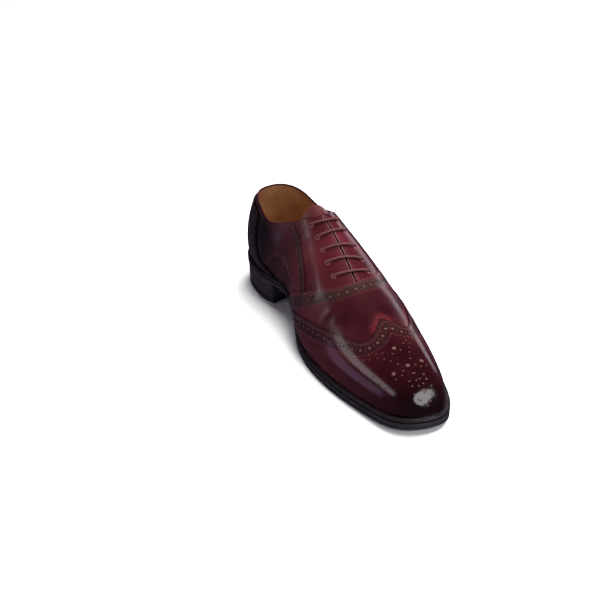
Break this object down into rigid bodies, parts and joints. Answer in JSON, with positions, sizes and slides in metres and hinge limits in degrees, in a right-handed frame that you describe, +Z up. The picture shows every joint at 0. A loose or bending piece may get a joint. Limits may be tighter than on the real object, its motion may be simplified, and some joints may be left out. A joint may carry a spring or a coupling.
{
  "type": "brogue shoe",
  "caption": "Left full brogue dress shoe with closed lacing, a winged toe cap, a stitched welt, a stacked low heel and a ribbed rubber forepart.",
  "frame": {"origin": "on the floor, under the middle of the sole", "axes": "+X to the toe, +Y to the outer (lateral) side, +Z up"},
  "size_m": [0.302, 0.1053, 0.1071],
  "materials": {
    "burgundy_leather": "polished, lightly mottled",
    "burnished_leather": "high polish, burnished dark",
    "tongue_leather": "soft satin",
    "lining_leather": "natural tan, matte",
    "welt_strip": "waxed black",
    "sole_rubber": "satin black",
    "tread_rubber": "matte ribbed",
    "lace_cord": "waxed round cord"
  },
  "bodies": {
    "root": {"upper": "burgundy_leather", "vamp": "burgundy_leather", "wing_cap": "burnished_leather", "counter": "burnished_leather", "facing_strip_medial": "burnished_leather", "facing_strip_lateral": "burnished_leather", "tongue": "tongue_leather", "insole": "lining_leather", "welt": "welt_strip", "outsole": "sole_rubber", "forepart_tread": "tread_rubber", "heel_block": "sole_rubber", "heel_top_piece": "tread_rubber", "heel_rubber": "tread_rubber", "lace_bar_1": "lace_cord", "lace_bar_2": "lace_cord", "lace_bar_3": "lace_cord", "lace_bar_4": "lace_cord", "lace_bar_5": "lace_cord"}
  },
  "joints": []
}
